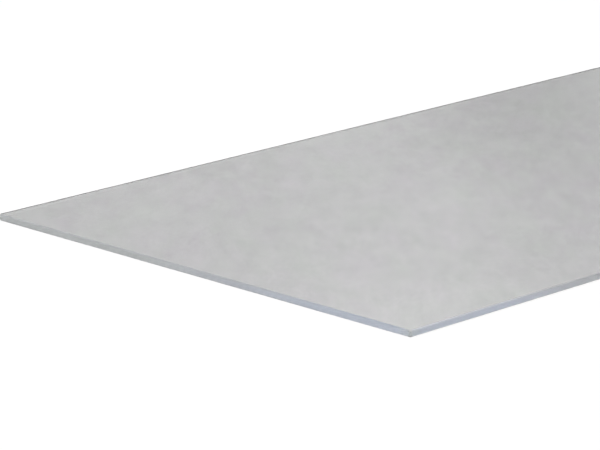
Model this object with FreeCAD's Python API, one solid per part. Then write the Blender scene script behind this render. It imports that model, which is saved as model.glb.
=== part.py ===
import FreeCAD
import Part

import math
import os

# A flat rectangular plate of fused quartz glass, one solid cut from sheet.
# It lies on its underside. The origin is the middle of the underside, +X runs along
# the long side, +Y along the short side and +Z up through the thickness. Sizes are in mm.

# Driving sizes
plate_length = 500.0
plate_width = 250.0
plate_thickness = 3.0
# Set-back of the ground bevel that breaks each sharp rim edge, top and bottom
arris_width = 0.5
# The four upright corners are ground round to this radius
corner_radius = 1.0

quarter_turn = math.pi / 2
up = FreeCAD.Vector(0, 0, 1)


def corner_arc(centre_x, centre_y, start_angle, radius, height):
    """A quarter arc round one corner of the plate, run anticlockwise from start_angle."""
    points = []
    for share in (0.0, 0.5, 1.0):
        angle = start_angle + share * quarter_turn
        points.append(
            FreeCAD.Vector(
                centre_x + radius * math.cos(angle),
                centre_y + radius * math.sin(angle),
                height,
            )
        )
    return Part.Arc(*points).toShape()


def plate_outline(height):
    """The plate's outline seen from above: four straight sides joined by four quarter arcs."""
    centre_x = plate_length / 2 - corner_radius
    centre_y = plate_width / 2 - corner_radius
    quadrants = ((1, 1), (-1, 1), (-1, -1), (1, -1))
    arcs = [
        corner_arc(side_x * centre_x, side_y * centre_y, turn * quarter_turn, corner_radius, height)
        for turn, (side_x, side_y) in enumerate(quadrants)
    ]
    edges = []
    for index, arc in enumerate(arcs):
        next_arc = arcs[(index + 1) % len(arcs)]
        side_start = arc.valueAt(arc.LastParameter)
        side_end = next_arc.valueAt(next_arc.FirstParameter)
        edges.append(arc)
        edges.append(Part.LineSegment(side_start, side_end).toShape())
    return Part.Wire(edges)


def rim_edges(blank):
    """Every edge that lies in the top or the bottom face, where the bevels are ground."""
    heights = (blank.BoundBox.ZMin, blank.BoundBox.ZMax)
    flat = 1e-6
    return [
        edge
        for edge in blank.Edges
        if edge.BoundBox.ZLength < flat
        and min(abs(edge.BoundBox.ZMin - height) for height in heights) < flat
    ]


def quartz_plate():
    """The sawn blank with its rim edges bevelled all the way round both faces."""
    blank = Part.Face(plate_outline(0.0)).extrude(up * plate_thickness)
    return blank.makeChamfer(arris_width, rim_edges(blank))


def main():
    os.makedirs("parts", exist_ok=True)
    plate = quartz_plate()
    plate.exportStep("parts/quartz_plate.step")
    box = plate.BoundBox
    print(
        f"quartz_plate: {box.XLength:.3f} x {box.YLength:.3f} x {box.ZLength:.3f} mm, "
        f"{plate.Volume / 1000:.2f} cm3, {len(plate.Faces)} faces, valid {plate.isValid()}"
    )


main()
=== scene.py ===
import math

import bmesh
import bpy
from mathutils import Matrix, Vector, noise


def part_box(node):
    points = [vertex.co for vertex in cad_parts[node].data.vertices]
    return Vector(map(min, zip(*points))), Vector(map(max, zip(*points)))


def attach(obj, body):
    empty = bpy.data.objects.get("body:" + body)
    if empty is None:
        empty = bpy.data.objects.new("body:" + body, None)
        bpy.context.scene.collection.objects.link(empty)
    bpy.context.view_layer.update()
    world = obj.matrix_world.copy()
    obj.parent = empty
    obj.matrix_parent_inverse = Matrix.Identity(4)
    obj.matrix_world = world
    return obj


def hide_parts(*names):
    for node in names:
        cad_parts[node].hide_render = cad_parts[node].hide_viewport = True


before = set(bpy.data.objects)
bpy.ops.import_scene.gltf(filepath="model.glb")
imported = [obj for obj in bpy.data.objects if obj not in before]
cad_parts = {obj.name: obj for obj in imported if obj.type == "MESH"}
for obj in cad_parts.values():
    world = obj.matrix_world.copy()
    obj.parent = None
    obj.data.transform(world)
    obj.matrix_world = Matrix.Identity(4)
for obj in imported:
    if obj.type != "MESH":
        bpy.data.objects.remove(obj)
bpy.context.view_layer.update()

mm = 0.001
plateLow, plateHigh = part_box("quartz_plate")
print("frame loaded, plate", [round(side / mm, 3) for side in plateHigh - plateLow], "mm")


# the plate's shape

plate = {
    "gridStep": 2.5 * mm,      # between the points of each face
    "rimParts": 3,             # parts of each grid step along the ground rim
    "cornerRadius": 1.0 * mm,
    "cornerParts": 8,          # facets round each upright corner
    "arris": 0.50 * mm,        # the bevel that breaks each rim edge
    "arrisDrift": 0.08 * mm,   # how far the grinding belt lets that bevel wander
    "arrisPatch": 7.5 * mm,
    "wallStrips": 3,           # strips up the ground wall
    "wallHollow": 0.03 * mm,   # how deep the grinding marks go
    "wallPatch": 2.0 * mm,
    "faceHollow": 0.02 * mm,   # slow hollows in the drawn faces
    "facePatch": 45.0 * mm,
}

# the plate's finishes, in the order of their slots: first its faces, then its ground rim, whose
# colours also paint light and shade
finishes = ["face", "longWall", "shortWall", "cornerWall", "longBevel", "shortBevel", "cornerBevel"]


def stations(low, high, step):
    count = max(1, round((high - low) / step))
    return [low + (high - low) * index / count for index in range(count + 1)]


def hollow(place, patch, depth):
    # how far a surface dips at a place, from nothing to the full depth
    return depth * min(1.0, max(0.0, 0.5 + 0.5 * noise.noise(place / patch)))


def faceGrid(mesh, xs, ys, z, inward):
    # the points of one face; inward is -1 where the glass lies below it and 1 where it lies above
    grid = []
    for x in xs:
        column = []
        for y in ys:
            dip = hollow(Vector((x, y, z)), plate["facePatch"], plate["faceHollow"])
            column.append(mesh.verts.new((x, y, z + inward * dip)))
        grid.append(column)
    return grid


def rimWalk(xs, ys):
    # the rim anticlockwise from the front left corner: its points as (centre, outward angle), and its
    # stretches as (grid points beside the stretch, first rim point, parts)
    lastX, lastY = len(xs) - 1, len(ys) - 1
    sides = [
        [(i, 0) for i in range(lastX + 1)],
        [(lastX, j) for j in range(lastY + 1)],
        [(i, lastY) for i in range(lastX, -1, -1)],
        [(0, j) for j in range(lastY, -1, -1)],
    ]
    quarter = math.pi / 2
    rim, stretches = [], []
    for turn, side in enumerate(sides):
        angle = (turn - 1) * quarter
        for here, there in zip(side, side[1:]):
            start, end = Vector((xs[here[0]], ys[here[1]])), Vector((xs[there[0]], ys[there[1]]))
            stretches.append(((here, there), len(rim), plate["rimParts"]))
            for part in range(plate["rimParts"]):
                rim.append((start.lerp(end, part / plate["rimParts"]), angle))
        corner = side[-1]
        stretches.append(((corner,), len(rim), plate["cornerParts"]))
        for part in range(plate["cornerParts"]):
            centre = Vector((xs[corner[0]], ys[corner[1]]))
            rim.append((centre, angle + quarter * part / plate["cornerParts"]))
    return rim, stretches


def arrisAt(place):
    return plate["arris"] + plate["arrisDrift"] * noise.noise(place / plate["arrisPatch"])


def rimSection(x, y):
    # the section through the rim at a place, from the top face down, as (how far in, height)
    top = arrisAt(Vector((x, y, plateHigh.z)))
    bottom = arrisAt(Vector((x, y, -plateHigh.z)))
    wallTop, wallBottom = plateHigh.z - top, plateLow.z + bottom
    section = [(top, plateHigh.z)]
    for strip in range(plate["wallStrips"] + 1):
        z = wallTop + (wallBottom - wallTop) * strip / plate["wallStrips"]
        section.append((hollow(Vector((x, y, z)), plate["wallPatch"], plate["wallHollow"]), z))
    section.append((bottom, plateLow.z))
    return section


def rimRings(mesh, rim):
    # the loops of points round the rim, from the top face down
    columns = []
    for centre, angle in rim:
        outward = Vector((math.cos(angle), math.sin(angle)))
        outside = centre + outward * plate["cornerRadius"]
        column = []
        for inset, z in rimSection(*outside):
            column.append(mesh.verts.new((*(outside - outward * inset), z)))
        columns.append(column)
    return [list(ring) for ring in zip(*columns)]


def addFace(mesh, points, upward, finish):
    face = mesh.faces.new(points if upward else points[::-1])
    face.material_index = finishes.index(finish)
    face.smooth = True


def closeFace(mesh, grid, ring, stretches, upward):
    # the cells of one face, and the strip that joins each rim point to the grid point nearest to it
    for i in range(len(grid) - 1):
        for j in range(len(grid[0]) - 1):
            cell = [grid[i][j], grid[i + 1][j], grid[i + 1][j + 1], grid[i][j + 1]]
            addFace(mesh, cell, upward, "face")
    for beside, first, parts in stretches:
        outer = [ring[(first + part) % len(ring)] for part in range(parts + 1)]
        inner = [grid[i][j] for i, j in beside]
        nearest = [inner[0] if part < parts / 2 else inner[-1] for part in range(parts + 1)]
        for part in range(parts):
            points = [outer[part], outer[part + 1], nearest[part + 1], nearest[part]]
            addFace(mesh, list(dict.fromkeys(points)), upward, "face")


def sideOf(rim, index, after):
    # which side a part of the rim belongs to; along a rounded corner the centre stays the same
    centre, angle = rim[index]
    if centre == rim[after][0]:
        return "corner"
    return "long" if abs(math.sin(angle)) > abs(math.cos(angle)) else "short"


def closeRim(mesh, rings, rim):
    # the outermost two strips are the bevels, the strips between them the wall
    count = len(rim)
    for strip, (upper, lower) in enumerate(zip(rings, rings[1:])):
        kind = "Bevel" if strip in (0, len(rings) - 2) else "Wall"
        for index in range(count):
            after = (index + 1) % count
            quad = [lower[index], lower[after], upper[after], upper[index]]
            addFace(mesh, quad, True, sideOf(rim, index, after) + kind)
    # a crisp line on each side of the bevels
    for ring in (rings[0], rings[1], rings[-2], rings[-1]):
        for index in range(count):
            mesh.edges.get((ring[index], ring[(index + 1) % count])).smooth = False


def plateMesh():
    radius = plate["cornerRadius"]
    xs = stations(plateLow.x + radius, plateHigh.x - radius, plate["gridStep"])
    ys = stations(plateLow.y + radius, plateHigh.y - radius, plate["gridStep"])
    mesh = bmesh.new()
    topGrid = faceGrid(mesh, xs, ys, plateHigh.z, -1)
    bottomGrid = faceGrid(mesh, xs, ys, plateLow.z, 1)
    rim, stretches = rimWalk(xs, ys)
    rings = rimRings(mesh, rim)
    closeFace(mesh, topGrid, rings[0], stretches, True)
    closeFace(mesh, bottomGrid, rings[-1], stretches, False)
    closeRim(mesh, rings, rim)
    made = bpy.data.meshes.new("quartzPane")
    mesh.to_mesh(made)
    mesh.free()
    return made


# the finishes, with painted light and shade on the ground rim

clear = {
    "tint": (0.8505, 0.8335, 0.859),
    "tone": (0.8325, 0.8525, 0.8315),    # what the tint drifts to in patches
    "tonePatch": (60.0 * mm, 22.0 * mm, 22.0 * mm),
    "toneDetail": 4.0,
    "toneRough": 0.8,
    "toneShift": (0.3, 0.7, 0.5),        # keeps those patches apart from the clouds
    "cloud": 0.072,            # how much the glass darkens and lightens in clouds
    "cloudPatch": (24.0 * mm, 10.0 * mm, 10.0 * mm),
    "cloudDetail": 6.0,
    "cloudRough": 0.88,
    "cloudTurn": 45.0,         # degrees that clouds and tones are turned from the long side
    "roughness": 0.02,
    "ior": 1.458,
}

# the paler tint that the ground rim has reached about 0.25 metres off the front left corner
paleGround = (0.97, 0.97, 0.97)

# the ground rim of the long sides, the short sides and the rounded corners: each tint belongs to a
# distance in metres from the front left corner, and clear is the share of the light that passes.
# These tints are painted light: near the front left corner a painted bluish reflection on the walls
# and painted highlights on the bevels, painted shade further along, and a painted shadow at the bottom
# tip of that corner; the pale tint further off is the whitish ground glass
ground = {
    "longWall": {
        # painted bluish reflection near the front left corner, painted shade further along
        "paintedLightTints": [
            (0.0025, (0.61, 0.69, 0.745)),
            (0.006, (0.675, 0.745, 0.90)),
            (0.035, (0.65, 0.72, 0.88)),
            (0.055, (0.675, 0.745, 0.925)),
            (0.085, (0.665, 0.705, 0.805)),
            (0.105, (0.62, 0.645, 0.69)),
            (0.251, paleGround),
            (0.340, paleGround),
            (0.400, (0.86, 0.86, 0.86)),
        ],
        "clear": 0.75,
        "roughness": 0.45,
    },
    "shortWall": {
        # painted bluish reflection near the front left corner, painted shade further along
        "paintedLightTints": [
            (0.0025, (0.70, 0.78, 0.84)),
            (0.006, (0.74, 0.82, 0.99)),
            (0.050, (0.755, 0.84, 1.0)),
            (0.100, (0.72, 0.76, 0.85)),
            (0.155, (0.70, 0.735, 0.74)),
            (0.2502, (0.655, 0.69, 0.69)),
            (0.2510, paleGround),
        ],
        "clear": 0.75,
        "roughness": 0.45,
    },
    "cornerWall": {
        # painted bluish light at the front left corner, painted shade at the corners within 0.25
        # metres of it
        "paintedLightTints": [
            (0.0030, (0.74, 0.81, 0.84)),
            (0.0100, (0.70, 0.72, 0.74)),
            (0.2502, (0.685, 0.71, 0.73)),
            (0.2510, paleGround),
        ],
        "clear": 0.75,
        "roughness": 0.45,
    },
    "longBevel": {
        # painted highlight near the front left corner, painted shade further along
        "paintedLightTints": [
            # painted shadow: the bottom tip of the front left corner is dark
            (0.0010, (0.25, 0.25, 0.25)),
            (0.0025, (0.845, 0.875, 0.97)),
            (0.010, (0.845, 0.875, 0.97)),
            (0.035, (0.815, 0.85, 0.95)),
            (0.055, (0.755, 0.795, 0.88)),
            (0.085, (0.685, 0.705, 0.745)),
            (0.105, (0.61, 0.63, 0.66)),
            (0.251, paleGround),
            (0.340, paleGround),
            (0.400, (0.84, 0.84, 0.84)),
        ],
        "clear": 0.55,
        "roughness": 0.5,
    },
    "shortBevel": {
        # a painted highlight right at the front left corner, painted shade further along
        "paintedLightTints": [
            # painted shadow: the bottom tip of the front left corner is dark
            (0.0010, (0.25, 0.25, 0.25)),
            (0.0025, (0.93, 0.96, 1.0)),
            (0.006, (0.66, 0.72, 0.845)),
            (0.030, (0.66, 0.715, 0.84)),
            (0.100, (0.505, 0.525, 0.565)),
            (0.2502, (0.565, 0.575, 0.60)),
            (0.2510, paleGround),
        ],
        "clear": 0.55,
        "roughness": 0.5,
    },
    "cornerBevel": {
        # a painted highlight at the front left corner, painted shade at the corners within 0.25 metres
        # of it
        "paintedLightTints": [
            # painted shadow: the bottom tip of the front left corner is dark
            (0.0010, (0.2, 0.2, 0.2)),
            (0.0025, (0.90, 0.91, 0.92)),
            (0.0035, (0.90, 0.91, 0.92)),
            (0.0100, (0.58, 0.59, 0.61)),
            (0.2502, (0.565, 0.575, 0.60)),
            (0.2510, paleGround),
        ],
        "clear": 0.30,
        "roughness": 0.5,
    },
}

# the fine streaks that the grinding leaves along the rim
grinding = {
    "streak": (6.5 * mm, 6.5 * mm, 0.3 * mm),
    "detail": 2.0,
    "rough": 0.5,
    "depth": 0.01 * mm,
}

# the part of its range that noise keeps to
noiseSpan = (0.3, 0.7)


def newMaterial(name):
    material = bpy.data.materials.new(name)
    material.use_nodes = True
    tree = material.node_tree
    return material, tree, tree.nodes["Principled BSDF"]


def noiseAt(tree, patch, detail, rough, turn=0.0, shift=(0, 0, 0)):
    # soft noise over the object, in patches of a size in metres, turned about the upright
    place = tree.nodes.new("ShaderNodeTexCoord")
    mapping = tree.nodes.new("ShaderNodeMapping")
    mapping.vector_type = "TEXTURE"
    mapping.inputs["Location"].default_value = shift
    mapping.inputs["Rotation"].default_value = (0, 0, math.radians(turn))
    mapping.inputs["Scale"].default_value = patch
    cloud = tree.nodes.new("ShaderNodeTexNoise")
    cloud.inputs["Scale"].default_value = 1.0
    cloud.inputs["Detail"].default_value = detail
    cloud.inputs["Roughness"].default_value = rough
    tree.links.new(place.outputs["Object"], mapping.inputs["Vector"])
    tree.links.new(mapping.outputs["Vector"], cloud.inputs["Vector"])
    return cloud.outputs["Fac"]


def spreadOut(tree, value, low, high):
    # draws the noise out, to run from low to high
    spread = tree.nodes.new("ShaderNodeMapRange")
    spread.inputs["From Min"].default_value = noiseSpan[0]
    spread.inputs["From Max"].default_value = noiseSpan[1]
    spread.inputs["To Min"].default_value = low
    spread.inputs["To Max"].default_value = high
    tree.links.new(value, spread.inputs["Value"])
    return spread.outputs["Result"]


def colourRamp(tree, value, stops):
    # stops are (value, colour), with values from 0 to 1
    ramp = tree.nodes.new("ShaderNodeValToRGB")
    points = ramp.color_ramp.elements
    while len(points) < len(stops):
        points.new(1.0)
    for point, (position, colour) in zip(points, stops):
        point.position = position
        point.color = (*colour, 1)
    tree.links.new(value, ramp.inputs["Fac"])
    return ramp.outputs["Color"]


def clearQuartz():
    material, tree, shader = newMaterial("clearQuartz")
    shader.inputs["IOR"].default_value = clear["ior"]
    shader.inputs["Transmission Weight"].default_value = 1.0
    shader.inputs["Roughness"].default_value = clear["roughness"]
    turn = clear["cloudTurn"]
    patches = noiseAt(
        tree, clear["tonePatch"], clear["toneDetail"], clear["toneRough"], turn, clear["toneShift"]
    )
    tones = colourRamp(tree, spreadOut(tree, patches, 0, 1), [(0, clear["tint"]), (1, clear["tone"])])
    clouds = noiseAt(tree, clear["cloudPatch"], clear["cloudDetail"], clear["cloudRough"], turn)
    amount = spreadOut(tree, clouds, 1 - clear["cloud"], 1 + clear["cloud"])
    tint = tree.nodes.new("ShaderNodeVectorMath")
    tint.operation = "SCALE"
    tree.links.new(tones, tint.inputs[0])
    tree.links.new(amount, tint.inputs["Scale"])
    tree.links.new(tint.outputs["Vector"], shader.inputs["Base Color"])
    return material


def groundFinishAndPaintedLight(name, look):
    material, tree, shader = newMaterial(name)
    shader.inputs["IOR"].default_value = clear["ior"]
    shader.inputs["Transmission Weight"].default_value = look["clear"]
    shader.inputs["Roughness"].default_value = look["roughness"]
    # the base colour paints light and shade: a painted reflection, highlights, shade and shadow that
    # change with distance from the front left corner
    place = tree.nodes.new("ShaderNodeTexCoord")
    away = tree.nodes.new("ShaderNodeVectorMath")
    away.operation = "DISTANCE"
    away.inputs[1].default_value = plateLow
    tree.links.new(place.outputs["Object"], away.inputs[0])
    tree.links.new(colourRamp(tree, away.outputs["Value"], look["paintedLightTints"]), shader.inputs["Base Color"])
    bump = tree.nodes.new("ShaderNodeBump")
    bump.inputs["Distance"].default_value = grinding["depth"]
    streaks = noiseAt(tree, grinding["streak"], grinding["detail"], grinding["rough"])
    tree.links.new(streaks, bump.inputs["Height"])
    tree.links.new(bump.outputs["Normal"], shader.inputs["Normal"])
    return material


pane = bpy.data.objects.new("quartzPane", plateMesh())
bpy.context.scene.collection.objects.link(pane)
pane.data.materials.append(clearQuartz())
for finish in finishes[1:]:
    pane.data.materials.append(groundFinishAndPaintedLight(finish, ground[finish]))
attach(pane, "root")
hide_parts("quartz_plate")
print("plate made,", len(pane.data.polygons), "faces")


# the studio

floorLook = {
    "size": 16.0,
    "gap": 0.15 * mm,          # below the plate's underside
    "glow": 0.87,              # what is seen of the floor without any light on it
    "shadowShare": 0.15,       # and of the light that falls there
    "bounce": 0.8,             # how pale the floor is to the light that it throws back
}

# (height, brightness) from level to straight up, the height being the sine of the angle
sky = [
    (0.0, 1.0), (0.09, 1.0), (0.16, 0.02), (0.23, 0.0),
    (0.30, 0.05), (0.42, 0.12), (0.62, 0.95), (1.0, 1.1),
]

# soft pale cards that the plate's top mirrors, each in degrees turned to the right of the plate's
# short side and risen above level
cards = [
    {"turn": 47.7, "rise": 15.0, "wide": 2.5, "tall": 1.5, "brightness": 0.13},
    {"turn": 45.9, "rise": 11.8, "wide": 3.2, "tall": 4.7, "brightness": 0.60},
    {"turn": 46.9, "rise": 19.8, "wide": 4.3, "tall": 6.6, "brightness": 0.63},
    {"turn": 43.2, "rise": 14.8, "wide": 5.7, "tall": 2.2, "brightness": 0.12},
    {"turn": 50.3, "rise": 13.0, "wide": 1.6, "tall": 1.1, "brightness": 0.15},
]

softbox = {"size": 1.3, "place": (-1.07, 0.08, 0.98), "power": 8.0}


def eitherOf(tree, first, second):
    either = tree.nodes.new("ShaderNodeMath")
    either.operation = "MAXIMUM"
    tree.links.new(first, either.inputs[0])
    tree.links.new(second, either.inputs[1])
    return either.outputs[0]


def studioFloor():
    below = plateLow.z - floorLook["gap"]
    bpy.ops.mesh.primitive_plane_add(size=floorLook["size"], location=(0, 0, below))
    made = bpy.context.object
    made.name = "floor"
    material = bpy.data.materials.new("paleFloor")
    material.use_nodes = True
    tree = material.node_tree
    tree.nodes.clear()
    bounce = tree.nodes.new("ShaderNodeBsdfDiffuse")
    bounce.inputs["Color"].default_value = (*(floorLook["bounce"],) * 3, 1)
    seen = tree.nodes.new("ShaderNodeBsdfDiffuse")
    seen.inputs["Color"].default_value = (*(floorLook["shadowShare"],) * 3, 1)
    glow = tree.nodes.new("ShaderNodeEmission")
    glow.inputs["Strength"].default_value = floorLook["glow"]
    both = tree.nodes.new("ShaderNodeAddShader")
    tree.links.new(seen.outputs[0], both.inputs[0])
    tree.links.new(glow.outputs[0], both.inputs[1])
    path = tree.nodes.new("ShaderNodeLightPath").outputs
    sight = eitherOf(tree, path["Is Camera Ray"], path["Is Glossy Ray"])
    sight = eitherOf(tree, sight, path["Is Transmission Ray"])
    choose = tree.nodes.new("ShaderNodeMixShader")
    tree.links.new(sight, choose.inputs[0])
    tree.links.new(bounce.outputs[0], choose.inputs[1])
    tree.links.new(both.outputs[0], choose.inputs[2])
    out = tree.nodes.new("ShaderNodeOutputMaterial")
    tree.links.new(choose.outputs[0], out.inputs["Surface"])
    made.data.materials.append(material)


def addCard(tree, light, towards, card):
    # brightest in its middle and gone at its rim
    turn, rise = math.radians(card["turn"]), math.radians(card["rise"])
    wide, tall = math.radians(card["wide"]), math.radians(card["tall"])
    middle = (math.sin(turn) * math.cos(rise), math.cos(turn) * math.cos(rise), math.sin(rise))
    mapping = tree.nodes.new("ShaderNodeMapping")
    mapping.vector_type = "TEXTURE"
    mapping.inputs["Location"].default_value = middle
    mapping.inputs["Scale"].default_value = (wide, wide, tall)
    shape = tree.nodes.new("ShaderNodeTexGradient")
    shape.gradient_type = "QUADRATIC_SPHERE"
    total = tree.nodes.new("ShaderNodeVectorMath")
    total.operation = "MULTIPLY_ADD"
    total.inputs[1].default_value = (card["brightness"],) * 3
    tree.links.new(towards, mapping.inputs["Vector"])
    tree.links.new(mapping.outputs["Vector"], shape.inputs["Vector"])
    tree.links.new(shape.outputs["Fac"], total.inputs[0])
    tree.links.new(light, total.inputs[2])
    return total.outputs["Vector"]


def studioSky():
    world = bpy.data.worlds.new("studio")
    bpy.context.scene.world = world
    world.use_nodes = True
    tree = world.node_tree
    towards = tree.nodes.new("ShaderNodeTexCoord").outputs["Generated"]
    split = tree.nodes.new("ShaderNodeSeparateXYZ")
    tree.links.new(towards, split.inputs[0])
    light = colourRamp(tree, split.outputs["Z"], [(height, (level,) * 3) for height, level in sky])
    for card in cards:
        light = addCard(tree, light, towards, card)
    tree.links.new(light, tree.nodes["Background"].inputs["Color"])


def softboxLamp():
    data = bpy.data.lights.new("softbox", "AREA")
    data.size = softbox["size"]
    data.energy = softbox["power"]
    lamp = bpy.data.objects.new("softbox", data)
    lamp.location = softbox["place"]
    lamp.rotation_mode = "QUATERNION"
    lamp.rotation_quaternion = (-Vector(softbox["place"])).to_track_quat("-Z", "Y")
    bpy.context.scene.collection.objects.link(lamp)


studioFloor()
studioSky()
softboxLamp()
print("studio made")


# the camera, beyond the near corner with a long lens

shot = {
    "bearing": 45.22,          # degrees from the plate's short side, turned to the right
    "lookDown": 15.41,         # degrees below level
    "lens": 214.09,            # mm
    "sensor": 36.0,            # mm across the picture
    "cornerRight": 0.04378,    # where the near top corner lies from the camera, in metres
    "cornerDown": 0.04182,
    "cornerAhead": 1.41225,
    "nearest": 0.01,           # the depth that it sees, in metres
    "furthest": 100.0,
}

# the light runs to and fro between the faces before it leaves at the rim
lightSteps = {"all": 80, "mirrored": 64, "through": 32}


def photoCamera():
    bearing, lookDown = math.radians(shot["bearing"]), math.radians(shot["lookDown"])
    ahead = Vector((
        math.sin(bearing) * math.cos(lookDown),
        math.cos(bearing) * math.cos(lookDown),
        -math.sin(lookDown),
    ))
    right = Vector((math.cos(bearing), -math.sin(bearing), 0))
    down = ahead.cross(right)
    corner = Vector((plateLow.x, plateLow.y, plateHigh.z))
    data = bpy.data.cameras.new("camera")
    data.lens = shot["lens"]
    data.sensor_width = shot["sensor"]
    data.clip_start, data.clip_end = shot["nearest"], shot["furthest"]
    made = bpy.data.objects.new("camera", data)
    bpy.context.scene.collection.objects.link(made)
    place = corner - shot["cornerRight"] * right
    place = place - shot["cornerDown"] * down - shot["cornerAhead"] * ahead
    axes = Matrix((right, -down, -ahead)).transposed()
    made.matrix_world = Matrix.Translation(place) @ axes.to_4x4()
    bpy.context.scene.camera = made


photoCamera()
bpy.context.scene.view_settings.view_transform = "Standard"
bpy.context.scene.cycles.max_bounces = lightSteps["all"]
bpy.context.scene.cycles.glossy_bounces = lightSteps["mirrored"]
bpy.context.scene.cycles.transmission_bounces = lightSteps["through"]
print("camera set")
